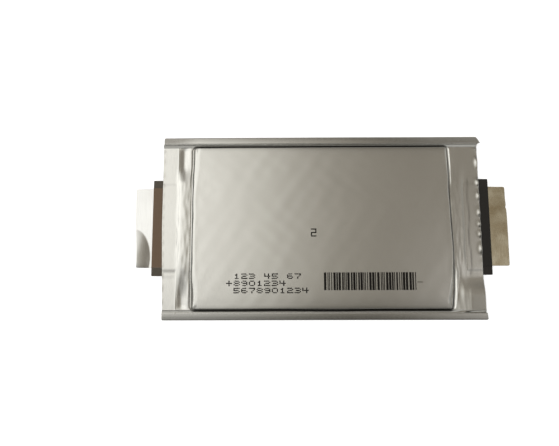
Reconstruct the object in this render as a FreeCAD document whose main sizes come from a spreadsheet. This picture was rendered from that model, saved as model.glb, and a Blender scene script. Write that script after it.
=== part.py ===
"""Lithium-ion pouch cell with one current lead at each end, as a parametric assembly.

The cell lies on its back. X runs along the leads, with the positive lead towards -X. Y runs across
the cell and Z is its thickness. The origin is on the lower face, under the middle of the cell.

Two drawn sheets of aluminium laminate face each other at the parting plane. Together they hold a
stack of electrodes with one separator ribbon folded between them. The leads lie in the parting plane
and come out between the sheets through sealing strips. Each long edge of the two sheets is folded
back over itself as a hem.
"""

import FreeCAD
import Part
import Sketcher
import math
import os
import re

# Driving dimensions in millimetres, and one count. Each is written once.
SIZES = {
    # electrode stack
    "cathode_count": 16,  # the stack has one more anode than cathodes
    "cathode_length": 156,
    "cathode_width": 101.5,
    "cathode_thick": 0.15,
    "anode_thick": 0.11,
    "anode_overhang": 1.0,  # anode past the cathode, all round
    "separator_thick": 0.02,
    "separator_overhang": 1.0,  # separator past the anode, all round
    # bare foil of the electrodes, gathered on the lead
    "positive_foil": 0.02,
    "negative_foil": 0.012,
    "foil_edge": 3.2,  # from the foil's side edge to the lead's
    "foil_straight": 0.3,  # foil past the separator before it slopes
    "gather_clear": 0.35,  # from the end of the slope to the cup's end wall
    "lead_setback": 1.5,  # from the end of the slope to the end of the lead
    "weld_length": 6.0,
    "weld_tape_thick": 0.06,
    "weld_strip_gap": 1.5,  # from the weld to the sealing strips
    # tape round the stack
    "stack_tape_thick": 0.05,
    "stack_tape_width": 15,
    "stack_tape_leg": 12,
    "stack_tape_offset": 45,
    # pouch sheets
    "film_thick": 0.15,
    "stack_face_gap": 0.1,
    "stack_side_gap": 0.7,
    "stack_end_gap": 5.35,
    "cup_corner_radius": 2.5,
    "cup_edge_radius": 1.0,
    "chamber_side_clear": 1.5,  # round the lead, in the shallow step over the gathered foils
    "chamber_face_clear": 0.05,
    "end_seal_width": 10.0,
    "side_margin": 2.8,  # from the cup's wall to the hem
    "hem_width": 4.0,
    "hem_gap": 0.4,  # between the two turns of the upper sheet
    # leads and their sealing strips
    "lead_width": 52.4,
    "lead_thick": 0.4,
    "lead_bare_length": 11.4,
    "lead_corner_radius": 0.8,
    "strip_overhang": 4.8,  # strip past each side edge of the lead
    "strip_thick": 0.1,
    "strip_out": 6.2,  # strip past the pouch's edge
    "strip_in": 1.0,  # strip past the seal's inner edge
    "strip_joggle": 0.6,  # slope beside the lead
}

# Places worked out from the driving dimensions. Lengths along X and Y are half spans from the middle
# of the cell, and heights are from the parting plane.
ANODE_HALF_LENGTH = "(cathode_length / 2 + anode_overhang)"
ANODE_HALF_WIDTH = "(cathode_width / 2 + anode_overhang)"
RIBBON_HALF_LENGTH = f"({ANODE_HALF_LENGTH} + separator_overhang)"
RIBBON_HALF_WIDTH = f"({ANODE_HALF_WIDTH} + separator_overhang)"
PAIR_THICK = "(cathode_thick + anode_thick + 2 * separator_thick)"
STACK_THICK = f"(cathode_count * {PAIR_THICK} + anode_thick + 2 * separator_thick)"

SLOPE_START = f"({RIBBON_HALF_LENGTH} + foil_straight)"
SLOPE_END = f"({RIBBON_HALF_LENGTH} + stack_end_gap - gather_clear)"
LEAD_START = f"({SLOPE_END} + lead_setback)"
FOIL_END = f"({LEAD_START} + weld_length)"
FOIL_HALF_WIDTH = "(lead_width / 2 - foil_edge)"
STRIP_START = f"({FOIL_END} + weld_strip_gap)"
STRIP_HALF_WIDTH = "(lead_width / 2 + strip_overhang)"

CUP_HALF_LENGTH = f"({RIBBON_HALF_LENGTH} + stack_end_gap + film_thick)"
CUP_HALF_WIDTH = f"({RIBBON_HALF_WIDTH} + stack_tape_thick + stack_side_gap + film_thick)"
CUP_DEPTH = f"({STACK_THICK} / 2 + stack_tape_thick + stack_face_gap + film_thick)"
CHAMBER_HALF_LENGTH = f"({STRIP_START} + strip_in)"
CHAMBER_HALF_WIDTH = "(lead_width / 2 + chamber_side_clear)"
POUCH_HALF_LENGTH = f"({CHAMBER_HALF_LENGTH} + end_seal_width)"
HEM_INNER = f"({CUP_HALF_WIDTH} + side_margin)"
HEM_BEND = f"({HEM_INNER} + hem_width - hem_gap / 2 - 2 * film_thick)"
HEM_CENTRE = "(film_thick + hem_gap / 2)"
STRIP_END = f"({POUCH_HALF_LENGTH} + strip_out)"
LEAD_END = f"({STRIP_END} + lead_bare_length)"

POSITIVE_BUNDLE = "(cathode_count * positive_foil)"
NEGATIVE_BUNDLE = "((cathode_count + 1) * negative_foil)"
UPPER_CHAMBER = (
    f"(lead_thick / 2 + max({POSITIVE_BUNDLE}; {NEGATIVE_BUNDLE}) + weld_tape_thick + chamber_face_clear)"
)
LOWER_CHAMBER = "(lead_thick / 2 + weld_tape_thick + chamber_face_clear)"

doc = FreeCAD.newDocument("pouch_cell")
subparts = []


def bound(text):
    """The same formula with each driving dimension read from the sheet."""
    return re.sub(r"[a-z_]+", lambda word: f"Sizes.{word[0]}" if word[0] in SIZES else word[0], text)


def number(owner, text):
    """What a formula comes to now."""
    return float(owner.evalExpression(bound(text)))


def make_sheet():
    """The spreadsheet that holds the driving dimensions."""
    sheet = doc.addObject("Spreadsheet::Sheet", "Sizes")
    for row, (name, size) in enumerate(SIZES.items(), start=1):
        sheet.set(f"A{row}", name)
        sheet.set(f"B{row}", str(size))
        sheet.setAlias(f"B{row}", name)
    doc.recompute()
    return sheet


def place(piece, x="0", z="0"):
    """Puts a sub-part at x along the cell and z above the parting plane, and lists it for export."""
    piece.setExpression("Placement.Base.x", bound(x))
    piece.setExpression("Placement.Base.z", bound(f"{CUP_DEPTH} + {z}"))
    subparts.append(piece)


def new_body(name):
    """An empty body with its label."""
    body = doc.addObject("PartDesign::Body", name)
    body.Label = name
    return body


def new_sketch(body, role):
    """A sketch on one of the body's own origin planes."""
    sketch = body.newObject("Sketcher::SketchObject", f"{body.Name}_outline")
    plane = next(item for item in body.Origin.OriginFeatures if item.Role == role)
    sketch.AttachmentSupport = [(plane, "")]
    sketch.MapMode = "FlatFace"
    return sketch


def tie_point(sketch, geometry, end, across, up):
    """Holds one point of the sketch at a place given by two formulas."""
    for kind, text in (("DistanceX", across), ("DistanceY", up)):
        index = sketch.addConstraint(
            Sketcher.Constraint(kind, -1, 1, geometry, end, number(sketch, text))
        )
        sketch.setExpression(f"Constraints[{index}]", bound(text))


def polygon(body, role, corners):
    """A sketch of one closed outline whose corners are pairs of formulas."""
    sketch = new_sketch(body, role)
    points = [FreeCAD.Vector(number(sketch, x), number(sketch, y), 0) for x, y in corners]
    count = len(points)
    for index in range(count):
        sketch.addGeometry(Part.LineSegment(points[index], points[(index + 1) % count]))
    for index in range(count):
        sketch.addConstraint(Sketcher.Constraint("Coincident", index, 2, (index + 1) % count, 1))
    for index, (x, y) in enumerate(corners):
        tie_point(sketch, index, 1, x, y)
    return sketch


def rectangle(body, half_length, half_width):
    """A rectangle on the XY plane, centred on the body's origin."""
    corners = [
        (f"-{half_length}", f"-{half_width}"),
        (half_length, f"-{half_width}"),
        (half_length, half_width),
        (f"-{half_length}", half_width),
    ]
    return polygon(body, "XY_Plane", corners)


def pad(body, sketch, length, symmetric=False):
    """Adds a sketch's outline to the body as a prism."""
    feature = body.newObject("PartDesign::Pad", f"{body.Name}_pad")
    feature.Profile = sketch
    feature.SideType = "Symmetric" if symmetric else "One side"
    feature.setExpression("Length", bound(length))
    doc.recompute()
    return feature


def pocket(body, sketch, depth, symmetric=False):
    """Cuts a sketch's outline out of the body, towards its +Z, and makes sure that something went."""
    before = body.Shape.Volume
    feature = body.newObject("PartDesign::Pocket", f"{body.Name}_pocket")
    feature.Profile = sketch
    feature.SideType = "Symmetric" if symmetric else "One side"
    feature.Reversed = not symmetric
    feature.setExpression("Length", bound(depth))
    doc.recompute()
    if not body.Shape.Volume < before:
        raise RuntimeError(f"{feature.Name} cut nothing")
    return feature


def fillet(body, radius, wanted):
    """Rounds the edges of the body so far whose middle and box pass the test."""
    names = [
        f"Edge{index}"
        for index, edge in enumerate(body.Tip.Shape.Edges, start=1)
        if wanted(edge.CenterOfMass, edge.BoundBox)
    ]
    base = body.Tip
    rounded = body.newObject("PartDesign::Fillet", f"{body.Name}_fillet")
    rounded.Base = (base, names)
    rounded.setExpression("Radius", bound(radius))
    doc.recompute()
    return rounded


def round_cup(body, half_length, half_width, height, corner, rim):
    """Rounds the outside or the inside of a drawn cup: its four upright corners, then its face's rim."""
    x, y, top = (number(body, text) for text in (half_length, half_width, height))
    close = 1e-4

    def upright(middle, box):
        at_corner = abs(abs(middle.x) - x) < close and abs(abs(middle.y) - y) < close
        return at_corner and box.ZLength > close

    def on_rim(middle, box):
        on_face = abs(middle.z - top) < close and box.ZLength < close
        return on_face and abs(middle.x) < x + close and abs(middle.y) < y + close

    fillet(body, corner, upright)
    fillet(body, rim, on_rim)


def strip_profile(lift, side="0"):
    """Outline across a lead and the parting plane beside it, from -Y to +Y, raised by a lift."""
    outer = f"({STRIP_HALF_WIDTH} + {side})"
    foot = "(lead_width / 2 + strip_joggle)"
    head = "(lead_width / 2)"
    low = f"({lift})"
    high = f"(lead_thick / 2 + {lift})"
    left = [(f"-{outer}", low), (f"-{foot}", low), (f"-{head}", high)]
    right = [(head, high), (foot, low), (outer, low)]
    return left + right


def cover_sketch(body, over):
    """Section from the parting plane up to the sealing strips, grown by a thickness over them."""
    base = f"({STRIP_HALF_WIDTH} + {over})"
    profile = strip_profile(f"strip_thick + {over}", over)
    return polygon(body, "YZ_Plane", profile + [(base, "0"), (f"-{base}", "0")])


def hem_sketch(body, centre, inner, outer, towards):
    """Section of one sheet in the hem: round the fold, then back towards the cup."""
    sketch = new_sketch(body, "YZ_Plane")
    y, z, back = (number(sketch, text) for text in (HEM_BEND, centre, HEM_INNER))
    small, large = number(sketch, inner), number(sketch, outer)
    middle = FreeCAD.Vector(y, z, 0)
    up = FreeCAD.Vector(0, 0, 1)
    quarter = math.pi / 2
    for radius in (large, small):
        sketch.addGeometry(Part.ArcOfCircle(Part.Circle(middle, up, radius), -quarter, quarter))
    # end 1 of each arc is its low end and end 2 its high end
    near, far = (1, 2) if towards > 0 else (2, 1)
    reach = [z + towards * radius for radius in (large, small)]
    first = z - towards * large
    outline = [
        (FreeCAD.Vector(y, reach[0], 0), FreeCAD.Vector(back, reach[0], 0)),
        (FreeCAD.Vector(back, reach[0], 0), FreeCAD.Vector(back, reach[1], 0)),
        (FreeCAD.Vector(back, reach[1], 0), FreeCAD.Vector(y, reach[1], 0)),
        (FreeCAD.Vector(y, z - towards * small, 0), FreeCAD.Vector(y, first, 0)),
    ]
    for start, stop in outline:
        sketch.addGeometry(Part.LineSegment(start, stop))
    large_arc, small_arc, top, tip, under, root = range(6)
    joints = [
        (large_arc, 3, small_arc, 3),
        (large_arc, far, top, 1),
        (top, 2, tip, 1),
        (tip, 2, under, 1),
        (under, 2, small_arc, far),
        (small_arc, near, root, 1),
        (root, 2, large_arc, near),
    ]
    for a, a_end, b, b_end in joints:
        sketch.addConstraint(Sketcher.Constraint("Coincident", a, a_end, b, b_end))
    tie_point(sketch, large_arc, 3, HEM_BEND, centre)
    for arc, text in ((large_arc, outer), (small_arc, inner)):
        index = sketch.addConstraint(Sketcher.Constraint("Radius", arc, number(sketch, text)))
        sketch.setExpression(f"Constraints[{index}]", bound(text))
    for geometry, end in ((large_arc, near), (large_arc, far), (small_arc, near), (small_arc, far)):
        index = sketch.addConstraint(Sketcher.Constraint("DistanceX", -1, 1, geometry, end, y))
        sketch.setExpression(f"Constraints[{index}]", bound(HEM_BEND))
    for line in (top, under):
        sketch.addConstraint(Sketcher.Constraint("Horizontal", line))
    index = sketch.addConstraint(Sketcher.Constraint("DistanceX", -1, 1, tip, 1, back))
    sketch.setExpression(f"Constraints[{index}]", bound(HEM_INNER))
    sketch.addConstraint(Sketcher.Constraint("Vertical", tip))
    return sketch


def pouch_film(name, chamber, hem_centre, hem_inner, towards):
    """One drawn sheet of laminate, with its cup towards the body's own +Z.

    The sheet has a flat flange, a deep cup for the stack, a shallow chamber at each end for the
    gathered foils, a relief over the sealing strips, and its turn of the hem along both long edges.
    """
    body = new_body(name)
    pad(body, rectangle(body, POUCH_HALF_LENGTH, HEM_BEND), "film_thick")
    pad(body, rectangle(body, CUP_HALF_LENGTH, CUP_HALF_WIDTH), CUP_DEPTH)
    chamber_length = f"({CHAMBER_HALF_LENGTH} + film_thick)"
    chamber_width = f"({CHAMBER_HALF_WIDTH} + film_thick)"
    pad(body, rectangle(body, chamber_length, chamber_width), f"{chamber} + film_thick")
    through = f"2 * {POUCH_HALF_LENGTH}"
    pad(body, cover_sketch(body, "film_thick"), through, symmetric=True)
    section = hem_sketch(body, hem_centre, hem_inner, f"({hem_inner} + film_thick)", towards)
    hem = pad(body, section, through, symmetric=True)
    other_hem = body.newObject("PartDesign::Mirrored", f"{name}_other_hem")
    other_hem.Originals = [hem]
    plane = next(item for item in body.Origin.OriginFeatures if item.Role == "XZ_Plane")
    other_hem.MirrorPlane = (plane, [""])
    body.Tip = other_hem
    doc.recompute()
    # the insides are cut square first, so that the wall stays one thickness round the corners
    inner_length = f"({CUP_HALF_LENGTH} - film_thick)"
    inner_width = f"({CUP_HALF_WIDTH} - film_thick)"
    inner_depth = f"({CUP_DEPTH} - film_thick)"
    pocket(body, rectangle(body, inner_length, inner_width), inner_depth)
    pocket(body, rectangle(body, CHAMBER_HALF_LENGTH, CHAMBER_HALF_WIDTH), chamber)
    pocket(body, cover_sketch(body, "0"), through, symmetric=True)
    inside = (inner_length, inner_width, inner_depth)
    round_cup(body, *inside, "cup_corner_radius - film_thick", "cup_edge_radius - film_thick")
    outside = (CUP_HALF_LENGTH, CUP_HALF_WIDTH, CUP_DEPTH)
    round_cup(body, *outside, "cup_corner_radius", "cup_edge_radius")
    return body


def upper_pouch_film():
    """The sheet that is seen from above. Its flange is the inner turn of the hem."""
    film = pouch_film("upper_pouch_film", UPPER_CHAMBER, HEM_CENTRE, "(hem_gap / 2)", 1)
    place(film)


def lower_pouch_film():
    """The sheet underneath, turned over. Its flange goes round the outside of the hem."""
    inner = "(hem_gap / 2 + film_thick)"
    film = pouch_film("lower_pouch_film", LOWER_CHAMBER, f"-{HEM_CENTRE}", inner, -1)
    film.Placement.Rotation = FreeCAD.Rotation(FreeCAD.Vector(1, 0, 0), 180)
    place(film)


def lead(name, side):
    """Flat metal lead. Its bare end has a face of its own, where a busbar is welded."""
    body = new_body(name)
    covered = [(LEAD_START, "-lead_width / 2"), (STRIP_END, "-lead_width / 2")]
    covered += [(STRIP_END, "lead_width / 2"), (LEAD_START, "lead_width / 2")]
    bare = [(STRIP_END, "-lead_width / 2"), (LEAD_END, "-lead_width / 2")]
    bare += [(LEAD_END, "lead_width / 2"), (STRIP_END, "lead_width / 2")]
    for outline in (covered, bare):
        corners = [(f"{side} * {x}", y) for x, y in outline]
        block = pad(body, polygon(body, "XY_Plane", corners), "lead_thick", symmetric=True)
        block.Refine = False
    end = number(body, LEAD_END)

    def end_corner(middle, box):
        return abs(abs(middle.x) - end) < 1e-4 and box.YLength < 1e-4

    rounded = fillet(body, "lead_corner_radius", end_corner)
    rounded.Refine = False
    place(body)


def sealing_strip(name, side, up):
    """Strip of sealing film on one face of a lead, bent down to the parting plane beside the lead."""
    body = new_body(name)
    outline = strip_profile("strip_thick") + strip_profile("0")[::-1]
    corners = [(y, f"{up} * {z}") for y, z in outline]
    pad(body, polygon(body, "YZ_Plane", corners), f"({STRIP_END} - {STRIP_START})", symmetric=True)
    place(body, x=f"{side} * ({STRIP_END} + {STRIP_START}) / 2")


def weld_tape(name, side, height):
    """Protective tape over the weld between the foils and the lead. Height is its lower face."""
    body = new_body(name)
    pad(body, rectangle(body, "(weld_length / 2)", FOIL_HALF_WIDTH), "weld_tape_thick")
    place(body, x=f"{side} * ({LEAD_START} + {FOIL_END}) / 2", z=height)


def electrode(name, side, half_length, half_width, thick, foil, height, foil_height):
    """Coated sheet with its bare foil, which slopes to its own place in the bundle on the lead."""
    body = new_body(name)
    pad(body, rectangle(body, half_length, half_width), thick, symmetric=True)
    shift = f"({foil_height} - {height})"
    run = [(half_length, "0"), (SLOPE_START, "0"), (SLOPE_END, shift), (FOIL_END, shift)]
    lower = [(f"{side} * {x}", f"({z} - {foil} / 2)") for x, z in run]
    upper = [(f"{side} * {x}", f"({z} + {foil} / 2)") for x, z in reversed(run)]
    pad(body, polygon(body, "XZ_Plane", lower + upper), f"2 * {FOIL_HALF_WIDTH}", symmetric=True)
    place(body, z=height)


def electrodes(count):
    """The coated sheets, from the lowest up: anodes outside, and a cathode between each two."""
    first = f"-{STACK_THICK} / 2 + separator_thick"
    for index in range(count + 1):
        height = f"({first} + {index} * {PAIR_THICK} + anode_thick / 2)"
        foil_height = f"(lead_thick / 2 + {index + 0.5} * negative_foil)"
        name = f"anode_sheet_{index + 1:02d}"
        size = (ANODE_HALF_LENGTH, ANODE_HALF_WIDTH, "anode_thick", "negative_foil")
        electrode(name, 1, *size, height, foil_height)
    for index in range(count):
        below = "anode_thick + separator_thick + cathode_thick / 2"
        height = f"({first} + {index} * {PAIR_THICK} + {below})"
        foil_height = f"(lead_thick / 2 + {index + 0.5} * positive_foil)"
        name = f"cathode_sheet_{index + 1:02d}"
        size = ("(cathode_length / 2)", "(cathode_width / 2)", "cathode_thick", "positive_foil")
        electrode(name, -1, *size, height, foil_height)


def separator_ribbon(sheet, count):
    """One long separator, folded to and fro between the electrodes, with its folds at the long edges.

    Its section is followed from the lowest run up, one list of corners for each side of the ribbon.
    """
    thick = sheet.separator_thick
    edge, half_length, half_stack = (
        number(sheet, text) for text in (RIBBON_HALF_WIDTH, RIBBON_HALF_LENGTH, f"{STACK_THICK} / 2")
    )
    slots = [sheet.anode_thick, sheet.cathode_thick] * count + [sheet.anode_thick]
    height = -half_stack
    right_side = [(-edge, height)]
    left_side = [(-edge, height + thick)]
    towards = 1
    for slot in slots:
        # each fold turns up round one electrode, so its inside changes sides from fold to fold
        inside, outside = (left_side, right_side) if towards > 0 else (right_side, left_side)
        inside.append((towards * (edge - thick), height + thick))
        inside.append((towards * (edge - thick), height + thick + slot))
        outside.append((towards * edge, height))
        outside.append((towards * edge, height + slot + 2 * thick))
        height += slot + thick
        towards = -towards
    # the number of folds is odd, so the last run goes back and its right side is on top
    right_side.append((towards * edge, height + thick))
    left_side.append((towards * edge, height))
    outline = right_side + left_side[::-1]
    corners = [FreeCAD.Vector(-half_length, y, z) for y, z in outline + outline[:1]]
    section = Part.Face(Part.makePolygon(corners))
    ribbon = doc.addObject("Part::Feature", "separator_ribbon")
    ribbon.Shape = section.extrude(FreeCAD.Vector(2 * half_length, 0, 0))
    ribbon.Label = "separator_ribbon"
    place(ribbon)


def stack_tape(name, side, edge):
    """Tape round one long edge of the stack, with a leg on each face."""
    body = new_body(name)
    reach = f"({RIBBON_HALF_WIDTH} + stack_tape_thick)"
    leg = f"({RIBBON_HALF_WIDTH} - stack_tape_leg)"
    inside = f"({STACK_THICK} / 2)"
    outside = f"({STACK_THICK} / 2 + stack_tape_thick)"
    outline = [(leg, f"-{outside}"), (reach, f"-{outside}"), (reach, outside), (leg, outside)]
    outline += [(leg, inside), (RIBBON_HALF_WIDTH, inside)]
    outline += [(RIBBON_HALF_WIDTH, f"-{inside}"), (leg, f"-{inside}")]
    corners = [(f"{edge} * {y}", z) for y, z in outline]
    pad(body, polygon(body, "YZ_Plane", corners), "stack_tape_width", symmetric=True)
    place(body, x=f"{side} * stack_tape_offset")


def export():
    """Writes each sub-part's solid, once all of them are sound."""
    doc.recompute()
    for item in doc.Objects:
        if "Invalid" in item.State or "Error" in item.State:
            raise RuntimeError(f"{item.Name} failed: {item.State}")
    for piece in subparts:
        if piece.Shape.isNull() or not piece.Shape.isValid() or not piece.Shape.Solids:
            raise RuntimeError(f"{piece.Label} has no sound solid")
    os.makedirs("parts", exist_ok=True)
    for piece in subparts:
        piece.Shape.exportStep(f"parts/{piece.Label}.step")


def main():
    sheet = make_sheet()
    count = int(sheet.cathode_count)
    upper_pouch_film()
    lower_pouch_film()
    for name, side, bundle in (("positive", -1, POSITIVE_BUNDLE), ("negative", 1, NEGATIVE_BUNDLE)):
        lead(f"{name}_lead", side)
        sealing_strip(f"{name}_sealing_strip_upper", side, 1)
        sealing_strip(f"{name}_sealing_strip_lower", side, -1)
        weld_tape(f"{name}_weld_tape_upper", side, f"(lead_thick / 2 + {bundle})")
        weld_tape(f"{name}_weld_tape_lower", side, "(-lead_thick / 2 - weld_tape_thick)")
    electrodes(count)
    separator_ribbon(sheet, count)
    for index, (side, edge) in enumerate([(-1, -1), (1, -1), (-1, 1), (1, 1)], start=1):
        stack_tape(f"stack_tape_{index}", side, edge)
    export()


main()
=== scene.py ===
import bpy
import math
import numpy as np
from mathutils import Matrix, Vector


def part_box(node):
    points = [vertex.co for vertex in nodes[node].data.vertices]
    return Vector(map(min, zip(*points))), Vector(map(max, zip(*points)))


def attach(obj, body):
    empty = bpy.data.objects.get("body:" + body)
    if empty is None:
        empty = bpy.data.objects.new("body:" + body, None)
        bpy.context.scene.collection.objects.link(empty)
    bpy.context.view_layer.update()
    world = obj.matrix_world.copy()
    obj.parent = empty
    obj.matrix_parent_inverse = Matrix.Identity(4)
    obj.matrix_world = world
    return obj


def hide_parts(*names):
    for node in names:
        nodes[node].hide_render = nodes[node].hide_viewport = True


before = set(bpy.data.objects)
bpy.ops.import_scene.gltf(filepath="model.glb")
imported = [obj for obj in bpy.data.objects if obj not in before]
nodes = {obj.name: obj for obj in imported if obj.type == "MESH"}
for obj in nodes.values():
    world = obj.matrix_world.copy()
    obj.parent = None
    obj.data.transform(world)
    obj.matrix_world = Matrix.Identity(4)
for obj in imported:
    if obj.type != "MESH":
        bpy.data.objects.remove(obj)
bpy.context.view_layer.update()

# ---------------------------------------------------------------------------------------------
# Pouch films. Two sheets of nylon-faced aluminium laminate, each with a cup drawn into it, heat-sealed
# face to face round the stack. Drawing, sealing and the vacuum inside leave soft rims, a hollow past the
# end of the stack, slack terraces beside the leads and a few pinched corners.
# ---------------------------------------------------------------------------------------------
MM = 0.001


def size_in_mm(node):
    """Lowest and highest corners of a CAD node, in millimetres."""
    low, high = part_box(node)
    return np.array(low) / MM, np.array(high) / MM


FILM = 0.15
stack_high = size_in_mm("separator_ribbon")[1]
upper_low, upper_high = size_in_mm("upper_pouch_film")
lower_high = size_in_mm("lower_pouch_film")[1]
lead_low, lead_high = size_in_mm("negative_lead")
strip_low, strip_high = size_in_mm("negative_sealing_strip_upper")
parting = upper_low[2]
pouch_half_length = upper_high[0]
pouch_half_width = lower_high[1]
cup_half_length = stack_high[0] + 5.5
cup_half_width = stack_high[1] + 0.9
cup_corner = 2.5
cup_depth = upper_high[2] - parting
lead_half_width = lead_high[1]
lead_half_thick = (lead_high[2] - lead_low[2]) / 2
strip_half_width = strip_high[1]
strip_thick = strip_high[2] - parting - lead_half_thick
seal_start = strip_low[0] + 1.0
hem_width = 4.5
hem_lift = 1.4
hem_gap = 0.4
hem_bend = pouch_half_width - hem_gap / 2 - 2 * FILM
hem_inner = pouch_half_width - hem_width
hem_centre = FILM + hem_gap / 2


def ease(value):
    """Smooth step from 0 to 1."""
    value = np.clip(value, 0.0, 1.0)
    return value * value * (3 - 2 * value)


def bump(value):
    """Smooth hump, 1 at 0 and gone at -1 and 1."""
    value = np.clip(np.abs(value), 0.0, 1.0)
    return 0.5 + 0.5 * np.cos(math.pi * value)


def higher(first, second, blend):
    """The higher of two surfaces, with a soft valley where they meet."""
    return 0.5 * (first + second + np.sqrt((first - second) ** 2 + blend**2))


def ripples(x, y, seed, wave_x, wave_y, count=7):
    """Gentle uneven waves, about -1 to 1, with their own wavelengths along X and Y."""
    draw = np.random.default_rng(seed)
    total = np.zeros(np.broadcast(x, y).shape)
    for _ in range(count):
        turns_x = draw.uniform(0.5, 1.3) / wave_x * draw.choice((-1, 1))
        turns_y = draw.uniform(0.3, 1.3) / wave_y
        total += np.cos(2 * math.pi * (turns_x * x + turns_y * y + draw.uniform()))
    return total / math.sqrt(count)


def end_bow(x, y):
    """How far the cup's two end walls bow out, and pull in where their corners are pinched."""
    right = 1.0 * bump((y + 18) / 40) - 0.7 * ease((-y - 40) / 14) - 0.4 * ease((y - 40) / 12)
    left = -0.5 - 0.4 * ease((np.abs(y) - 30) / 12)
    return np.where(x > 0, right, left)


def cup_inset(x, y):
    """How far a place is inside the cup's outline."""
    across = np.abs(x) - (cup_half_length - cup_corner) - end_bow(x, y)
    along = np.abs(y) - (cup_half_width - cup_corner)
    outside = np.hypot(np.maximum(across, 0), np.maximum(along, 0))
    return cup_corner - outside - np.minimum(np.maximum(across, along), 0)


def near_corner(x, y, side, edge, reach_x, reach_y):
    """1 at one corner of the cup, falling off along both walls."""
    away_x = (x - side * cup_half_length) / reach_x
    away_y = (y - edge * cup_half_width) / reach_y
    return np.exp(-away_x**2 - away_y**2)


def crease(x, y, start, end, width, height):
    """A straight crease that fades at both ends."""
    run = np.subtract(end, start)
    length = math.hypot(*run)
    along = ((x - start[0]) * run[0] + (y - start[1]) * run[1]) / length**2
    across = ((x - start[0]) * run[1] - (y - start[1]) * run[0]) / length
    return height * np.exp(-((across / width) ** 2)) * bump(2 * along - 1)


# how far the slack sheets dip beside each end of each lead, by (side along X, side along Y)
SLACK = {(-1, 1): 0.66, (-1, -1): 0.52, (1, 1): 0.05}
terrace_half = 4.2


def terrace_drop(x, y):
    """How far both sheets dip between the end seal and the cup, beside the leads."""
    place = bump((np.abs(x) - seal_start + terrace_half) / terrace_half)
    beside = np.where(y > 0, ease((y - lead_half_width - 3) / 11), ease((-y - lead_half_width) / 20))
    beside = beside * ease((cup_half_width + 2 - np.abs(y)) / 5)
    depth = sum(
        amount * ease(0.5 + side * x) * ease(0.5 + edge * y / 10)
        for (side, edge), amount in SLACK.items()
    )
    return place * beside * depth


corner_rise = 1.75
corner_run = 10.5


def corner_lift(x, y):
    """The end seal curls up at one corner of the negative end, so that the sheets lean there."""
    past_cup = x - cup_half_length - 0.2
    lean = corner_rise * np.clip(past_cup / corner_run, 0, 1)
    lean = lean + 0.5 * np.clip((past_cup - corner_run) / 9, 0, 1)
    return lean * ease((-y - strip_half_width - 1) / 13) * (1 - ease((-y - cup_half_width - 0.2) / 2.1))


def lip_wave(x, y):
    """The cut edge past the end seal curls up in waves where the sealing bar let go of it."""
    near_edge = np.exp(-(((pouch_half_length - np.abs(x)) / np.where(x > 0, 1.8, 1.1)) ** 2))
    period = np.where(x > 0, 9.6, 6.8)
    curl = 0.5 + 0.5 * np.sin(2 * math.pi * y / period + 1.6 * np.sin(y / 11) + 0.8 * np.sin(y / 4.3))
    free = ease((hem_inner - 2 - np.abs(y)) / 3)
    return np.where(x > 0, 0.70 * ease((y + 26) / 9), 0.10) * near_edge * curl**1.6 * free


def gutter(x, y):
    """The narrow crease that both sheets make at the foot of the cup's end walls."""
    beside_lead = ease((np.abs(y) - lead_half_width + 1) / 6)
    right = 0.06 + beside_lead * (0.12 + 0.12 * ease((-y - 15) / 25) + 0.16 * ease((y - 34) / 14))
    deep = np.where(x > 0, right, 0.14 + 0.26 * beside_lead)
    past_end = ease((np.abs(x) - cup_half_length + 5) / 3) * ease((hem_inner - np.abs(y)) / 2)
    return deep * past_end * bump((cup_inset(x, y) + 0.6 + 0.2 * beside_lead) / (0.7 + 0.2 * beside_lead))


def middle(x, y):
    """Height of the sheets' meeting plane, which bends up at the hems and dips in the terraces."""
    out = np.abs(y)
    raised = hem_lift * np.sin(math.pi / 2 * np.clip((out - cup_half_width - 0.2) / 2.1, 0, 1))
    back_tilt = 1 + 1.5 * ease((-x - 78) / 25) + 1.3 * ease((x - 10) / 70)
    front_tilt = 1 - 0.6 * ease((x - 10) / 70)
    drooped = np.where(y > 0, 0.25 * back_tilt, 0.16 * front_tilt) * np.clip((out - hem_inner) / 4.0, 0, 1)
    raised = raised + corner_lift(x, y)
    return raised - drooped - terrace_drop(x, y) - gutter(x, y) + lip_wave(x, y)


def bar_edge(x, y, seed):
    """How far out the sealing bar's edge bit. It wanders, and sat further out on the negative end."""
    return seal_start + np.where(x > 0, 2.3, 0.0) + 0.2 * ripples(0, y, seed, 1, 24)


# each sheet's own shape: the room it leaves over the weld tapes (left, right), how slack the cup's
# corners are, its creases as (start, end, width, height), and the seed of its waves
UPPER_SHEET = {
    "room": (1.27, 0.62),
    "pinch": {(-1, 1): 0.2, (-1, -1): 0.4, (1, 1): 0.3, (1, -1): 3.6},
    "creases": [
        ((-83.9, -38.0), (-83.0, -53.5), 0.50, -0.40),
        ((-86.9, -34.0), (-86.6, -54.0), 0.45, 0.30),
        ((-83.2, 46.0), (-81.0, 53.5), 0.50, -0.22),
        ((87.2, 36.0), (86.6, 55.0), 0.55, 0.14),
        ((88.4, -14.0), (87.0, -55.0), 0.70, 0.26),
        ((-89.8, 30.0), (-89.4, 52.0), 0.90, 0.10),
        ((91.5, -28.0), (92.5, -52.0), 1.20, 0.10),
    ],
    "seed": 11,
}
LOWER_SHEET = {
    "room": (0.34, 0.34),
    "pinch": {(-1, 1): 1.5, (-1, -1): 0.8, (1, 1): 2.2, (1, -1): 0.9},
    "creases": [],
    "seed": 29,
}
deepest_dip = 0.085


def at_end_wall(x, y):
    """1 beside the cup's end walls and 0 beside its long walls."""
    return ease(0.5 + (np.abs(x) - cup_half_length - np.abs(y) + cup_half_width) / 3)


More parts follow.
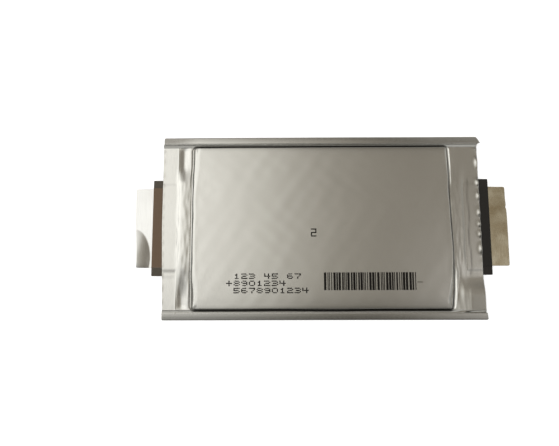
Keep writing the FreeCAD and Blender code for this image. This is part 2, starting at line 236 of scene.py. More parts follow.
def face_dips(x, y, seed):
    """How far the face sinks between its high spots, never as far as the stack under it."""
    waves = 0.5 + 0.5 * np.tanh(0.8 * ripples(x, y, seed + 1, 30, 60))
    blotches = ripples(x, y, seed + 6, 13, 15) + ripples(x, -y, seed + 7, 16, 13)
    mottle = 0.5 + 0.5 * np.tanh(0.5 * blotches)
    dent = bump((np.hypot(x + 73, (y - 24) / 1.1) - 3.5) / 4)
    dips = 0.04 * waves + (0.06 + 0.01 * ease(-x / 40)) * mottle + 0.06 * dent
    return deepest_dip * np.tanh(dips / deepest_dip)


def swell(x, y, room, pinch, creases, seed):
    """How far one sheet stands off the meeting plane, without its own thickness."""
    inset = cup_inset(x, y) + 0.12 * ripples(x, y, seed, 60, 22)
    end_wall = at_end_wall(x, y)
    slope = 0.9 + np.where(x > 0, 1.0, 0.4) * end_wall
    for (side, edge), amount in pinch.items():
        slope = slope + amount * end_wall * near_corner(x, y, side, edge, 9, 15)
    depth = cup_depth - FILM
    cup = depth * ease((inset + 0.35) / slope)
    # past the positive end of the stack the sheet rolls off softly, most of all at the corners
    reach = 1.6 + 2.8 * ease((np.abs(y) - 22) / 20)
    shoulder = np.where(x < 0, 0.26, 0.03) * ease(1 - (inset - 0.5) / reach)
    front_roll = 0.13 * np.clip(1 - (y + cup_half_width) / 9, 0, 1) ** 3
    back_roll = 0.16 * np.clip(1 - (cup_half_width - y) / 3.2, 0, 1) ** 2
    cup = cup - (front_roll + back_roll) * ease(inset / 0.5)
    cup = cup - shoulder * ease((np.abs(x) - stack_high[0]) / 1.5)
    cup = cup - ease((inset - 1.0) / 4) * face_dips(x, y, seed)
    # the chamber over the weld tapes, between the cup and the end seal
    rise = ease((seal_start + 1.9 - np.abs(x)) / 5)
    rise = rise * (1 - np.where(x < 0, 0.18, 0.0) * ease((seal_start - 4.3 + x) / 5))
    in_chamber = rise * np.where(y > 0, ease((lead_half_width + 18 - y) / 19), ease((y + 50) / 34))
    wrinkle = 1 + 0.02 * ripples(x, y, seed + 2, 8, 10)
    chamber = np.where(x > 0, room[1], room[0]) * in_chamber * wrinkle
    # the sealing strips and the leads show through the end seals
    over_strip = strip_thick * ease((strip_half_width + 2.8 - np.abs(y)) / 1.6)
    over_lead = lead_half_thick * ease((lead_half_width + 4.2 - np.abs(y)) / 3.4)
    relief = (over_strip + over_lead) * ease((np.abs(x) - strip_low[0]) / 1.0)
    pressed = np.where(x > 0, -0.035, 0.085) * (1 + 0.3 * ripples(0, y, seed + 5, 1, 9))
    pressed = pressed * np.where(x > 0, ease((lead_half_width + 7 - np.abs(y)) / 3), 1)
    seal_edge = pressed * np.exp(-(((np.abs(x) - bar_edge(x, y, seed + 3)) / 0.45) ** 2))
    flat = 0.02 * ripples(x, y, seed + 4, 3.0, 24) * ease((seal_start - np.abs(x)) / 1.5)
    terrace = higher(chamber, relief, 0.05) + seal_edge + flat
    total = higher(cup, terrace, 0.10) - 0.05
    for start, end, width, height in creases:
        total = total + crease(x, y, start, end, width, height)
    return np.clip(total, 0.0, depth)


def spaced(*stretches):
    """Places from 0 outwards, given as (end, step), mirrored to both sides."""
    places = [0.0]
    for end, step in stretches:
        count = max(1, round((end - places[-1]) / step))
        places += list(np.linspace(places[-1], end, count + 1)[1:])
    return np.array([-p for p in places[:0:-1]] + places)


def grid_mesh(name, points, flipped=False):
    """A smooth sheet of quads through rows of points in millimetres, which face +Z unless flipped."""
    rows, columns = points.shape[:2]
    index = np.arange(rows * columns).reshape(rows, columns)
    corners = [index[:-1, :-1], index[:-1, 1:], index[1:, 1:], index[1:, :-1]]
    if flipped:
        corners = corners[::-1]
    quads = np.stack(corners, axis=-1).reshape(-1, 4)
    mesh = bpy.data.meshes.new(name)
    mesh.from_pydata((points.reshape(-1, 3) * MM).tolist(), [], quads.tolist())
    mesh.shade_smooth()
    piece = bpy.data.objects.new(name, mesh)
    bpy.context.scene.collection.objects.link(piece)
    return piece


# how far each end of a hem reaches past the pouch's end, at its free edge and at its fold
HEM_ENDS = {(-1, 1): (-0.6, -0.5), (-1, -1): (-0.4, -0.5), (1, 1): (1.9, -0.4), (1, -1): (0.6, 1.2)}
hem_end_round = 1.1
end_askew = 1.6


def film_points(up, sheet):
    """Rows of points on the outside face of one sheet, from hem to hem."""
    columns = spaced(
        (cup_half_length - 11, 2.4), (cup_half_length - 1.6, 0.7), (cup_half_length + 1.4, 0.22),
        (seal_start - 1, 0.5), (seal_start + 1, 0.25), (pouch_half_length - 2, 0.9),
        (pouch_half_length, 0.33),
    )
    across = spaced(
        (lead_half_width - 1, 1.3), (strip_half_width + 1, 0.6), (cup_half_width - 3.5, 1.2),
        (cup_half_width - 1.4, 0.4), (cup_half_width + 1.1, 0.2), (hem_bend, 0.5),
    )
    radius = hem_gap / 2 if up > 0 else hem_gap / 2 + 2 * FILM
    turn = np.linspace(0, math.pi, 10)[1:]
    leg = np.linspace(hem_bend, hem_inner, 10)[1:]
    bend_y = np.concatenate([hem_bend + radius * np.sin(turn), leg])
    place_y = np.concatenate([np.full(len(turn), hem_bend), leg])
    crown = 0.03 * bump((leg - (hem_inner + hem_bend) / 2) / 2.4)
    rise = np.concatenate([hem_centre - radius * np.cos(turn), hem_centre + radius + crown])
    y = np.concatenate([-bend_y[::-1], across, bend_y])
    base_y = np.concatenate([-place_y[::-1], across, place_y])
    x_grid, y_grid = np.meshgrid(columns, y)
    x_base, y_base = np.meshgrid(columns, base_y)
    z_grid = up * (FILM + swell(x_base, y_base, **sheet))
    hem_rows = len(bend_y)
    z_grid[:hem_rows] = rise[::-1, None]
    z_grid[-hem_rows:] = rise[:, None]
    z_grid = z_grid + middle(x_base, y_base)
    # the hems' ends are cut by hand: uneven, and round at the fold
    for (side, edge), (free, fold) in HEM_ENDS.items():
        out = edge * y_grid
        share = np.clip((out - hem_inner) / (pouch_half_width - hem_inner), 0, 1)
        reach = (free + (fold - free) * share) * ease((out - hem_inner + 0.3) / 0.3)
        rounding = np.maximum(out - (pouch_half_width - hem_end_round), 0)
        reach = reach - hem_end_round + np.sqrt(np.maximum(hem_end_round**2 - rounding**2, 0))
        last = np.clip((side * x_grid - pouch_half_length + 5) / 5, 0, 1)
        x_grid = x_grid + side * last**2 * reach * (out > hem_inner - 0.3)
    # the positive end is cut a little askew
    askew = np.clip((-x_grid - pouch_half_length + 5) / 5, 0, 1) ** 2 * np.clip(-y_grid / 55, 0, 1)
    x_grid = x_grid + end_askew * askew
    return np.stack([x_grid, y_grid, z_grid + parting], axis=-1)


def thicken(piece, amount):
    """Gives a sheet its thickness, behind the face that was drawn."""
    wall = piece.modifiers.new("thickness", "SOLIDIFY")
    wall.thickness = amount * MM
    wall.offset = -1
    return piece


def make_effect(name, inputs, outputs):
    """An empty node group with number inputs and outputs, and its two ends."""
    group = bpy.data.node_groups.new(name, "ShaderNodeTree")
    group.interface.new_socket("Place", in_out="INPUT", socket_type="NodeSocketVector")
    for label, value in inputs.items():
        socket = group.interface.new_socket(label, in_out="INPUT", socket_type="NodeSocketFloat")
        socket.default_value = value
    for label in outputs:
        group.interface.new_socket(label, in_out="OUTPUT", socket_type="NodeSocketFloat")
    return group, group.nodes.new("NodeGroupInput"), group.nodes.new("NodeGroupOutput")


def make_mill_grain():
    """Grain of rolled sheet: cloudy patches, and fine grain drawn out along Y."""
    group, start, end = make_effect(
        "mill_grain", {"Cloud Scale": 40, "Grain Scale": 1500, "Draw": 0.15}, ["Cloud", "Grain"]
    )
    stretch = group.nodes.new("ShaderNodeCombineXYZ")
    stretch.inputs["X"].default_value = 1
    stretch.inputs["Z"].default_value = 1
    group.links.new(start.outputs["Draw"], stretch.inputs["Y"])
    drawn = group.nodes.new("ShaderNodeVectorMath")
    drawn.operation = "MULTIPLY"
    group.links.new(start.outputs["Place"], drawn.inputs[0])
    group.links.new(stretch.outputs["Vector"], drawn.inputs[1])
    for label, scale, detail, source in (
        ("Cloud", "Cloud Scale", 3, start.outputs["Place"]),
        ("Grain", "Grain Scale", 2, drawn.outputs["Vector"]),
    ):
        noise = group.nodes.new("ShaderNodeTexNoise")
        noise.inputs["Detail"].default_value = detail
        group.links.new(source, noise.inputs["Vector"])
        group.links.new(start.outputs[scale], noise.inputs["Scale"])
        group.links.new(noise.outputs["Fac"], end.inputs[label])
    return group


mill_grain = make_mill_grain()


def blend_range(nodes_, links, value, low, high):
    """A Map Range node that turns 0.3 to 0.7 into low to high."""
    node = nodes_.new("ShaderNodeMapRange")
    node.inputs["From Min"].default_value = 0.3
    node.inputs["From Max"].default_value = 0.7
    node.inputs["To Min"].default_value = low
    node.inputs["To Max"].default_value = high
    links.new(value, node.inputs["Value"])
    return node.outputs["Result"]


def make_finish(name, light, dark, rough, metallic=0.0, cloud=40, grain=1500, draw=0.15, relief=0.02):
    """A material whose colour and roughness drift between two values, with fine grain in relief."""
    material = bpy.data.materials.new(name)
    material.use_nodes = True
    tree, links = material.node_tree.nodes, material.node_tree.links
    shader = tree["Principled BSDF"]
    shader.inputs["Metallic"].default_value = metallic
    where = tree.new("ShaderNodeTexCoord")
    effect = tree.new("ShaderNodeGroup")
    effect.node_tree = mill_grain
    effect.name = "grain"
    effect.inputs["Cloud Scale"].default_value = cloud
    effect.inputs["Grain Scale"].default_value = grain
    effect.inputs["Draw"].default_value = draw
    links.new(where.outputs["Object"], effect.inputs["Place"])
    mix = tree.new("ShaderNodeMix")
    mix.name = "colour"
    mix.data_type = "RGBA"
    mix.inputs["A"].default_value = (*light, 1)
    mix.inputs["B"].default_value = (*dark, 1)
    links.new(blend_range(tree, links, effect.outputs["Cloud"], 0, 1), mix.inputs["Factor"])
    links.new(mix.outputs["Result"], shader.inputs["Base Color"])
    links.new(blend_range(tree, links, effect.outputs["Grain"], *rough), shader.inputs["Roughness"])
    raised = tree.new("ShaderNodeBump")
    raised.inputs["Strength"].default_value = relief
    raised.inputs["Distance"].default_value = 0.0001
    links.new(effect.outputs["Grain"], raised.inputs["Height"])
    links.new(raised.outputs["Normal"], shader.inputs["Normal"])
    return material


laminate = make_finish(
    "satin_laminate", (0.84, 0.825, 0.785), (0.815, 0.80, 0.76), (0.20, 0.25), metallic=1.0,
    cloud=35, grain=2200, draw=0.12, relief=0.015,
)


def paint_crease_shade(material, painted_shade_colour):
    """Darkens the nylon face's colour towards a dark colour, as far as the mesh's own "fold" value says:
    painted shade.
    """
    tree, links = material.node_tree.nodes, material.node_tree.links
    fold = tree.new("ShaderNodeAttribute")
    fold.attribute_name = "fold"
    mix = tree.new("ShaderNodeMix")
    mix.data_type = "RGBA"
    # painted shade: the dark colour that the walls, rim, hem and seal groove are mixed towards
    mix.inputs["B"].default_value = (*painted_shade_colour, 1)
    links.new(tree["colour"].outputs["Result"], mix.inputs["A"])
    links.new(fold.outputs["Fac"], mix.inputs["Factor"])
    links.new(mix.outputs["Result"], tree["Principled BSDF"].inputs["Base Color"])


def mark_painted_crease_shade(piece, points):
    """Writes how much painted shade each point of a sheet gets: darkest down the cup's walls, less round
    its rim, on the front hem and along the groove where the sealing bar's edge bit at the negative end."""
    x, y = points[..., 0], points[..., 1]
    inset = cup_inset(x, y)
    at_end = at_end_wall(x, y)
    # painted shade at the foot of the cup's walls, where shade falls in the crease
    long_wall_shade = 0.96 * np.exp(-(((inset + 0.25) / 0.80) ** 2))
    end_wall = 0.96 * np.exp(-(((inset - np.where(x > 0, 0.25, 0.40)) / 0.52) ** 2))
    wall = long_wall_shade + (end_wall - long_wall_shade) * at_end
    beside_lead = ease((lead_half_width + 7 - np.abs(y)) / 3)
    # painted shade along the groove pressed in by the sealing bar's edge
    seal_groove_shade = 0.45 * np.exp(-(((x - bar_edge(x, y, 14)) / 0.45) ** 2)) * beside_lead
    # painted shade round the rim and on the front hem, where the face reflects the dark room
    fade = np.exp(-np.maximum(inset, 0) / np.where(y < 0, 3.6, 2.0)) * ease(inset + 1)
    rim_shade = (0.16 + 0.26 * ease((x + 45) / 50)) * fade * (1 - at_end)
    front_hem_shade = 0.20 * ease((-y - hem_inner + 0.6) / 0.8)
    painted_shade = np.max([wall, seal_groove_shade, rim_shade, front_hem_shade], axis=0)
    # the "fold" attribute holds this painted shade, not a real fold
    fold = piece.data.attributes.new("fold", "FLOAT", "POINT")
    fold.data.foreach_set("value", painted_shade.ravel().astype(np.float32))


# painted shade: the laminate darkens to near black where the sheets' "fold" values say
paint_crease_shade(laminate, (0.04, 0.038, 0.034))


def add_piece(piece, material, slot, *replaced):
    """Fits out a finished piece: its material, the frame it rides on and what it stands for."""
    piece.data.materials.clear()
    piece.data.materials.append(material)
    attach(piece, "root")
    if replaced:
        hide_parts(*replaced)


points = film_points(1, UPPER_SHEET)
upper_film = thicken(grid_mesh("upper_film", points), FILM)
mark_painted_crease_shade(upper_film, points)
add_piece(upper_film, laminate, "pouch_laminate", "upper_pouch_film")
points = film_points(-1, LOWER_SHEET)
lower_film = thicken(grid_mesh("lower_film", points, flipped=True), FILM)
mark_painted_crease_shade(lower_film, points)
add_piece(lower_film, laminate, "pouch_laminate", "lower_pouch_film")

# ---------------------------------------------------------------------------------------------
# Leads. A strip of bare aluminium on the positive end and of nickel-plated copper on the negative end,
# sheared to size with a small radius at the corners. Handling has bent both a little, and the plating is
# stained.
# ---------------------------------------------------------------------------------------------
lead_inner = lead_low[0]
lead_outer = lead_high[0]
strip_outer = strip_high[0]
lead_corner = 0.9


def plate_points(inner, outer, half_width, corner, notch=None, step=0.5):
    """Rows of points on a flat plate with rounded outer corners and an optional nick in its end."""
    rows = spaced((half_width - corner, step), (half_width, 0.12))
    beyond = np.maximum(np.abs(rows) - (half_width - corner), 0)
    end = outer - corner + np.sqrt(np.maximum(corner**2 - beyond**2, 0))
    if notch:
        end = end - notch(rows)
    share = np.linspace(0, 1, round((outer - inner) / step))
    x = inner + share[None, :] * (end[:, None] - inner)
    y = np.repeat(rows[:, None], len(share), axis=1)
    return x, y


def make_plate(name, side, x, y, centre, thick):
    """A closed plate round the surface centre(x, y), with eased edges."""
    z = centre(x, y) + thick / 2
    points = np.stack([side * x, y, z + parting], axis=-1)
    piece = thicken(grid_mesh(name, points, flipped=side < 0), thick)
    eased = piece.modifiers.new("eased_edges", "BEVEL")
    eased.width = 0.06 * MM
    eased.segments = 2
    eased.limit_method = "ANGLE"
    eased.angle_limit = math.radians(60)
    return piece


def positive_bend(x, y):
    """The aluminium lead's front corner is bent up along a curved line."""
    bent = np.clip(1 - np.hypot((x - lead_outer - 0.4) / 10.6, (y + 20) / 19), 0, 1)
    out = np.clip((x - strip_outer) / (lead_outer - strip_outer), 0, 1)
    return 0.9 * bent + 1.1 * (1 - (1 - bent) ** 2) + 0.2 * out * ease((y - 4) / 20)


def positive_end(y):
    """The aluminium lead's end draws back where its corner is bent up."""
    return 1.7 * ease((8 - y) / 28)


def negative_bend(x, y):
    """The copper lead bows gently and dips at its back corner."""
    out = np.clip((x - strip_outer) / (lead_outer - strip_outer), 0, 1)
    return -0.5 * out**2 * ease((y - 6) / 14) + 0.15 * out * np.cos(y / 9)


def negative_nick(y):
    """The copper lead's end is not quite square, and has a nick behind its middle."""
    return 0.25 * ease((y - 8) / 12) + 0.45 * bump((y - 12.5) / 1.6)


# neither lead was tacked quite on the cell's centre line
positive_offset = -0.5
negative_offset = 0.3
lead_thick = 2 * lead_half_thick
x, y = plate_points(lead_inner, lead_outer, lead_half_width, lead_corner, positive_end)
positive_lead = make_plate(
    "positive_lead_strip", -1, x, y + positive_offset, positive_bend, lead_thick
)
aluminium = make_finish(
    "rolled_aluminium", (0.90, 0.89, 0.87), (0.86, 0.85, 0.83), (0.10, 0.20), metallic=1.0,
    cloud=60, grain=2500, draw=0.05, relief=0.06,
)
add_piece(positive_lead, aluminium, "aluminium_lead", "positive_lead")

x, y = plate_points(lead_inner, lead_outer, lead_half_width, lead_corner, negative_nick)
negative_lead = make_plate(
    "negative_lead_strip", 1, x, y + negative_offset, negative_bend, lead_thick
)
nickel = make_finish(
    "dull_nickel_plate", (0.95, 0.86, 0.66), (0.60, 0.49, 0.32), (0.24, 0.36), metallic=1.0,
    cloud=110, grain=1800, draw=0.2, relief=0.04,
)
add_piece(negative_lead, nickel, "nickel_plated_lead", "negative_lead")

# ---------------------------------------------------------------------------------------------
# Sealing strips. Thin modified polypropylene film, heat-tacked to both faces of each lead so that the
# laminate can seal to it. It stands past the pouch's edge, brown over the aluminium and nearly black over
# the copper, and its free ends are soft-cornered.
# ---------------------------------------------------------------------------------------------
# the heat tack presses the film out sideways, and leaves a hair of air between it and the lead
strip_spread = 0.8
strip_corner = 0.6
strip_gap = 0.01


def strip_height(up):
    """Middle of a strip's thickness: on the lead, then down to the parting plane beside it."""

    def height(x, y):
        on_lead = lead_half_thick * ease((lead_half_width + 0.7 - np.abs(y)) / 0.7)
        return up * (on_lead + strip_thick / 2 + strip_gap)

    return height


def make_strip_finish(name, over_lead, past_lead):
    """Film that looks one colour over its lead and another past the lead's edges."""
    material = make_finish(name, over_lead, over_lead, (0.42, 0.55), cloud=90, grain=900, draw=0.4)
    tree, links = material.node_tree.nodes, material.node_tree.links
    where = tree.new("ShaderNodeTexCoord")
    split = tree.new("ShaderNodeSeparateXYZ")
    links.new(where.outputs["Object"], split.inputs["Vector"])
    away = tree.new("ShaderNodeMath")
    away.operation = "ABSOLUTE"
    links.new(split.outputs["Y"], away.inputs[0])
    past = tree.new("ShaderNodeMapRange")
    past.inputs["From Min"].default_value = lead_half_width * MM
    past.inputs["From Max"].default_value = (lead_half_width + 0.5) * MM
    links.new(away.outputs["Value"], past.inputs["Value"])
    colour = tree["colour"]
    colour.inputs["B"].default_value = (*past_lead, 1)
    links.new(past.outputs["Result"], colour.inputs["Factor"])
    return material


strip_finishes = {
    "positive": make_strip_finish("brown_sealing_film", (0.155, 0.100, 0.060), (0.080, 0.066, 0.048)),
    "negative": make_strip_finish("black_sealing_film", (0.014, 0.012, 0.010), (0.018, 0.015, 0.013)),
}
for polarity, side, strip_offset in (("positive", -1, -0.3), ("negative", 1, 0)):
    for layer, up in (("upper", 1), ("lower", -1)):
        x, y = plate_points(strip_low[0], strip_outer, strip_half_width + strip_spread, strip_corner)
        strip = make_plate(
            f"{polarity}_strip_{layer}", side, x, y + strip_offset, strip_height(up),
            strip_thick - strip_gap,
        )
        add_piece(
            strip, strip_finishes[polarity], "sealing_film", f"{polarity}_sealing_strip_{layer}"
        )

# ---------------------------------------------------------------------------------------------
# Printed marks. Black ink jetted onto the finished cell: a small mark in the middle of the face, three
# rows of dot-matrix digits and a block of bars. The digits only count up and the bars encode nothing.
# ---------------------------------------------------------------------------------------------
DIGITS = {
    "0": "01110 10001 10001 10001 01110",
    "1": "00100 01100 00100 00100 01110",
    "2": "11110 00001 01110 10000 11111",
    "3": "11110 00001 01110 00001 11110",
    "4": "10010 10010 11111 00010 00010",
    "5": "11111 10000 11110 00001 11110",
    "6": "01110 10000 11110 10001 01110",
    "7": "11111 00001 00010 00100 00100",
    "8": "01110 10001 01110 10001 01110",
    "9": "01110 10001 01111 00001 01110",
    "+": "00100 00100 11111 00100 00100",
}
ink_thick = 0.03
above_face = 0.001


def face_height(x, y):
    """Height of the upper face, for what is printed on it."""
    x, y = np.asarray(x, float), np.asarray(y, float)
    return parting + middle(x, y) + FILM + swell(x, y, **UPPER_SHEET)


def make_stamp_tree(name, stamp_type):
    """Geometry nodes that put one ink stamp at each point, sized by the point's own size attribute."""
    tree = bpy.data.node_groups.new(name, "GeometryNodeTree")
    tree.interface.new_socket("Points", in_out="INPUT", socket_type="NodeSocketGeometry")
    tree.interface.new_socket("Ink Thickness", in_out="INPUT", socket_type="NodeSocketFloat")
    tree.interface.new_socket("Ink", in_out="INPUT", socket_type="NodeSocketMaterial")
    tree.interface.new_socket("Marks", in_out="OUTPUT", socket_type="NodeSocketGeometry")
    start, end = tree.nodes.new("NodeGroupInput"), tree.nodes.new("NodeGroupOutput")
    stamp = tree.nodes.new(stamp_type)
    if stamp_type == "GeometryNodeMeshCylinder":
        stamp.inputs["Vertices"].default_value = 10
        stamp.inputs["Radius"].default_value = 0.5
        tree.links.new(start.outputs["Ink Thickness"], stamp.inputs["Depth"])
    else:
        size = tree.nodes.new("ShaderNodeCombineXYZ")
        size.inputs["X"].default_value = 1
        size.inputs["Y"].default_value = 1
        tree.links.new(start.outputs["Ink Thickness"], size.inputs["Z"])
        tree.links.new(size.outputs["Vector"], stamp.inputs["Size"])
    own_size = tree.nodes.new("GeometryNodeInputNamedAttribute")
    own_size.data_type = "FLOAT_VECTOR"
    own_size.inputs["Name"].default_value = "stamp_size"
    place = tree.nodes.new("GeometryNodeInstanceOnPoints")
    realize = tree.nodes.new("GeometryNodeRealizeInstances")
    paint = tree.nodes.new("GeometryNodeSetMaterial")
    tree.links.new(start.outputs["Points"], place.inputs["Points"])
    tree.links.new(stamp.outputs["Mesh"], place.inputs["Instance"])
    tree.links.new(own_size.outputs["Attribute"], place.inputs["Scale"])
    tree.links.new(place.outputs["Instances"], realize.inputs["Geometry"])
    tree.links.new(realize.outputs["Geometry"], paint.inputs["Geometry"])
    tree.links.new(start.outputs["Ink"], paint.inputs["Material"])
    tree.links.new(paint.outputs["Geometry"], end.inputs["Marks"])
    return tree


def print_marks(name, tree, places, sizes, ink):
    """Prints stamps at places on the upper face, and leaves them as one plain mesh."""
    places, sizes = np.array(places), np.array(sizes)
    height = face_height(places[:, 0], places[:, 1]) + above_face
    points = np.column_stack([places, height]) * MM
    mesh = bpy.data.meshes.new(name)
    mesh.from_pydata(points.tolist(), [], [])
    sized = mesh.attributes.new("stamp_size", "FLOAT_VECTOR", "POINT")
    scale = np.column_stack([sizes * MM, np.ones(len(sizes))])
    sized.data.foreach_set("vector", scale.astype(np.float32).ravel())
    piece = bpy.data.objects.new(name, mesh)
    bpy.context.scene.collection.objects.link(piece)
    stamper = piece.modifiers.new("stamps", "NODES")
    stamper.node_group = tree
    sockets = {item.name: item.identifier for item in tree.interface.items_tree}
    stamper[sockets["Ink Thickness"]] = ink_thick * MM
    stamper[sockets["Ink"]] = ink
    evaluated = piece.evaluated_get(bpy.context.evaluated_depsgraph_get())
    final = bpy.data.meshes.new_from_object(evaluated)
    piece.modifiers.clear()
    piece.data = final
    add_piece(piece, ink, "sealing_film")


ink = make_finish("black_jet_ink", (0.004, 0.004, 0.003), (0.016, 0.014, 0.012), (0.7, 0.9), grain=3000)
ink.node_tree.nodes["Principled BSDF"].inputs["Specular IOR Level"].default_value = 0.15
dot_tree = make_stamp_tree("dot_stamps", "GeometryNodeMeshCylinder")
bar_tree = make_stamp_tree("bar_stamps", "GeometryNodeMeshCube")
dot_pitch = (0.82, 0.86 * 0.82)
row_pitch = 4.6
sign_pitch = 4.93
first_sign = -56.6
first_row = -30.9
jitter = np.random.default_rng(5)


def dots_of(sign, left, top):
    """Places of one character's dots, read row by row."""
    return [
        (left + column * dot_pitch[0], top - row * dot_pitch[1])
        for row, line in enumerate(DIGITS[sign].split())
        for column, dot in enumerate(line)
        if dot == "1"
    ]


dots = []
for row, text in enumerate((" 123 45 67", "+8901234", " 5678901234")):
    for column, sign in enumerate(text):
        if sign != " ":
            left = first_sign + (column - 1) * sign_pitch
            dots += dots_of(sign, left, first_row - row * row_pitch)
dots = np.array(dots) + jitter.normal(0, 0.03, (len(dots), 2))
dot_sizes = np.repeat(jitter.uniform(0.82, 0.96, len(dots))[:, None], 2, axis=1)
print_marks("printed_digits", dot_tree, dots, dot_sizes, ink)

bar_left = 1.4
bar_right = 61.0
bar_top = -30.0
bar_foot = -41.4
longest_length = 1.5
bars = []
bar_sizes = []


def add_bar(centre_x, centre_y, wide, high):
    """One straight stroke, laid down in short lengths so that it follows the face."""
    count_x = max(1, round(wide / longest_length))
    count_y = max(1, round(high / longest_length))
    for column in range(count_x):
        for line in range(count_y):
            bars.append((
                centre_x + ((column + 0.5) / count_x - 0.5) * wide,
                centre_y + ((line + 0.5) / count_y - 0.5) * high,
            ))
            bar_sizes.append((wide / count_x, high / count_y))


next_left = bar_left
while next_left < bar_right:
    width = jitter.choice((0.60, 0.60, 1.05, 1.5))
    add_bar(next_left + width / 2, (bar_top + bar_foot) / 2, width, bar_top - bar_foot)
    next_left += width + jitter.choice((0.38, 0.38, 0.80))
# a thin tick beside the bars
add_bar(bar_right + 2.2, -36.3, 3.6, 0.4)
# the mark in the middle of the face is a plain 2, drawn in five strokes
mark_x = -4.9
mark_y = -4.0
mark_wide = 3.6
mark_high = 5.3
stroke = 0.75
for level in (-0.5, 0.0, 0.5):
    add_bar(mark_x, mark_y + level * (mark_high - stroke), mark_wide, stroke)
for side in (-1, 1):
    stroke_x = mark_x + side * (mark_wide - stroke) / 2
    stroke_y = mark_y + side * (mark_high - stroke) / 4
    add_bar(stroke_x, stroke_y, stroke, mark_high / 2)
print_marks("printed_bars", bar_tree, bars, bar_sizes, ink)

# ---------------------------------------------------------------------------------------------
# Electrode stack. Black coated aluminium foil and grey graphite-coated copper foil in turn, with a white
# microporous ribbon folded between them, held square by four green tapes and welded to the leads under
# amber tape. It is sealed in the pouch, and keeps its CAD shape.
# ---------------------------------------------------------------------------------------------
inner_finishes = {
    "cathode_sheet": make_finish(
        "cathode_coating", (0.030, 0.030, 0.034), (0.045, 0.044, 0.046), (0.75, 0.9), grain=4000, draw=1
    ),
    "anode_sheet": make_finish(
        "graphite_coating", (0.065, 0.066, 0.072), (0.095, 0.095, 0.10), (0.55, 0.75), grain=4000, draw=1
    ),
    "separator_ribbon": make_finish(
        "microporous_ribbon", (0.88, 0.88, 0.86), (0.82, 0.82, 0.80), (0.5, 0.7), grain=3000, draw=0.4
    ),
    "stack_tape": make_finish(
        "green_stack_tape", (0.06, 0.26, 0.13), (0.04, 0.20, 0.10), (0.25, 0.4), grain=1200, draw=0.3
    ),
    "weld_tape": make_finish(
        "amber_weld_tape", (0.55, 0.27, 0.04), (0.42, 0.19, 0.03), (0.2, 0.35), grain=1200, draw=0.3
    ),
}
for name, node in nodes.items():
    for part, finish in inner_finishes.items():
        if part in name:
            node.data.materials.clear()
            node.data.materials.append(finish)

# ---------------------------------------------------------------------------------------------
# Studio. White paper under the cell, one broad soft light on the left and overhead that falls off to a
# darker, warmer room on the right, pale walls all round, and a camera above the cell, a little to the
# left and in front of its middle.
# ---------------------------------------------------------------------------------------------
floor_half = 3000
floor_corners = [[(right * floor_half, back * floor_half, 0) for right in (-1, 1)] for back in (-1, 1)]
floor = grid_mesh("floor", np.array(floor_corners))
paper = make_finish("white_paper", (0.92, 0.92, 0.92), (0.90, 0.90, 0.90), (0.8, 0.9), grain=500, draw=1)
# the paper is bright to the camera, and dark where the cell reflects it
paper_tree, paper_links = paper.node_tree.nodes, paper.node_tree.links
paper_shader = paper_tree["Principled BSDF"]
paper_shader.inputs["Emission Strength"].default_value = 1.0
paper_shader.inputs["Specular IOR Level"].default_value = 0.0
rays = paper_tree.new("ShaderNodeLightPath")


def switch_for_camera(label, reflected):
    """A colour of the paper that the camera's own rays see differently; returns the camera's socket."""
    mix = paper_tree.new("ShaderNodeMix")
    mix.data_type = "RGBA"
    mix.inputs["A"].default_value = (*reflected, 1)
    paper_links.new(rays.outputs["Is Camera Ray"], mix.inputs["Factor"])
    paper_links.new(mix.outputs["Result"], paper_shader.inputs[label])
    return mix.inputs["B"]


paper_links.new(
    paper_tree["colour"].outputs["Result"], switch_for_camera("Base Color", (0.10, 0.10, 0.09))
)
switch_for_camera("Emission Color", (0.03, 0.03, 0.03)).default_value = (0.62, 0.62, 0.62, 1)
floor.data.materials.append(paper)

world = bpy.data.worlds.new("soft_room")
world.use_nodes = True
bpy.context.scene.world = world
sky, sky_links = world.node_tree.nodes, world.node_tree.links
background = sky["Background"]
direction = sky.new("ShaderNodeTexCoord")
parts = sky.new("ShaderNodeSeparateXYZ")
sky_links.new(direction.outputs["Generated"], parts.inputs["Vector"])


def brightness_along(axis, stops):
    """Light of the room along one axis, as (how far that way the ray points, colour) stops."""
    spread = sky.new("ShaderNodeMapRange")
    spread.inputs["From Min"].default_value = -1
    sky_links.new(parts.outputs[axis], spread.inputs["Value"])
    ramp = sky.new("ShaderNodeValToRGB")
    while len(ramp.color_ramp.elements) < len(stops):
        ramp.color_ramp.elements.new(0.5)
    for element, (place, colour) in zip(ramp.color_ramp.elements, stops):
        element.position = 0.5 + place / 2
        element.color = (*colour, 1)
    sky_links.new(spread.outputs["Result"], ramp.inputs["Fac"])
    return ramp.outputs["Color"]


leftward = brightness_along("X", (
    (-1.0, (0.03, 0.03, 0.03)), (-0.86, (0.08, 0.08, 0.07)), (-0.72, (1.12, 1.12, 1.09)),
    (-0.24, (1.12, 1.12, 1.08)), (-0.17, (0.92, 0.91, 0.87)), (-0.10, (0.80, 0.79, 0.74)),
    (-0.047, (0.66, 0.65, 0.60)), (0.0, (0.48, 0.46, 0.41)), (0.05, (0.36, 0.34, 0.30)),
    (0.11, (0.30, 0.28, 0.237)), (0.18, (0.232, 0.213, 0.180)), (0.32, (0.232, 0.213, 0.180)),
    (0.40, (0.28, 0.257, 0.22)), (0.54, (0.24, 0.22, 0.185)), (0.68, (0.04, 0.04, 0.035)),
    (1.0, (0.02, 0.02, 0.02)),
))
backward = brightness_along("Y", (
    (-1.0, (0.04, 0.04, 0.04)), (-0.50, (0.06, 0.06, 0.06)), (-0.30, (0.11, 0.11, 0.11)),
    (-0.17, (0.27, 0.27, 0.27)), (-0.10, (0.48, 0.48, 0.48)), (-0.035, (1, 1, 1)),
    (0.37, (1, 1, 1)), (0.50, (0.25, 0.235, 0.22)), (1.0, (0.04, 0.04, 0.04)),
))
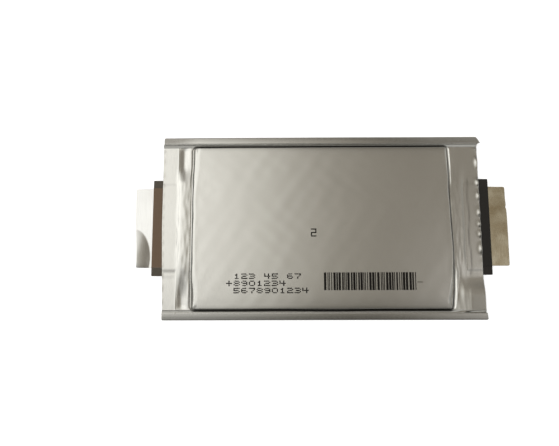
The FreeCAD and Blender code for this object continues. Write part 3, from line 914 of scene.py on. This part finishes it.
# the room's pale walls, all round below the ceiling
walls = brightness_along("Z", (
    (0.06, (0, 0, 0)), (0.18, (0.42, 0.42, 0.41)), (0.60, (0.42, 0.42, 0.40)), (0.85, (0, 0, 0)),
))


def combine(operation, first, second):
    """A vector maths node on the room's light; second may be a fixed value."""
    node = sky.new("ShaderNodeVectorMath")
    node.operation = operation
    sky_links.new(first, node.inputs[0])
    if isinstance(second, tuple):
        node.inputs[1].default_value = second
    else:
        sky_links.new(second, node.inputs[1])
    return node.outputs["Vector"]


# a second, small soft light, overhead and to the right
off_centre = combine("SUBTRACT", direction.outputs["Generated"], (0.44, -0.05, 0.0))
distance = sky.new("ShaderNodeVectorMath")
distance.operation = "LENGTH"
sky_links.new(combine("MULTIPLY", off_centre, (1, 1, 0)), distance.inputs[0])
side_light = sky.new("ShaderNodeMapRange")
side_light.interpolation_type = "SMOOTHSTEP"
side_light.inputs["From Max"].default_value = 0.23
side_light.inputs["To Min"].default_value = 0.55
side_light.inputs["To Max"].default_value = 0.0
sky_links.new(distance.outputs["Value"], side_light.inputs["Value"])
room = combine("MULTIPLY", leftward, backward)
room = combine("ADD", room, side_light.outputs["Result"])
room = combine("ADD", room, walls)
# the camera itself sees plain white behind the paper
rays = sky.new("ShaderNodeLightPath")
seen = sky.new("ShaderNodeMix")
seen.data_type = "RGBA"
seen.inputs["B"].default_value = (1, 1, 1, 1)
sky_links.new(rays.outputs["Is Camera Ray"], seen.inputs["Factor"])
sky_links.new(room, seen.inputs["A"])
sky_links.new(seen.outputs["Result"], background.inputs["Color"])

# daylight from the left, front and above, which the shiny pieces don't reflect
lamp = bpy.data.lights.new("window_light", "SUN")
lamp.energy = 1.2
lamp.angle = math.radians(40)
lamp_holder = bpy.data.objects.new("window_light", lamp)
lamp_holder.rotation_mode = "XYZ"
lamp_holder.rotation_euler = (math.radians(12), math.radians(-30), 0)
lamp_holder.visible_glossy = False
bpy.context.scene.collection.objects.link(lamp_holder)

lens_view = bpy.data.cameras.new("camera")
lens_view.sensor_width = 36
lens_view.lens = 32.3
camera = bpy.data.objects.new("camera", lens_view)
camera_height = 328.6
camera.location = (-24.4 * MM, -41.1 * MM, (camera_height + parting) * MM)
camera.rotation_mode = "YXZ"
camera.rotation_euler = (math.radians(7.59), math.radians(0.52), math.radians(-0.21))
bpy.context.scene.collection.objects.link(camera)
bpy.context.scene.camera = camera
bpy.context.scene.view_settings.view_transform = "Standard"
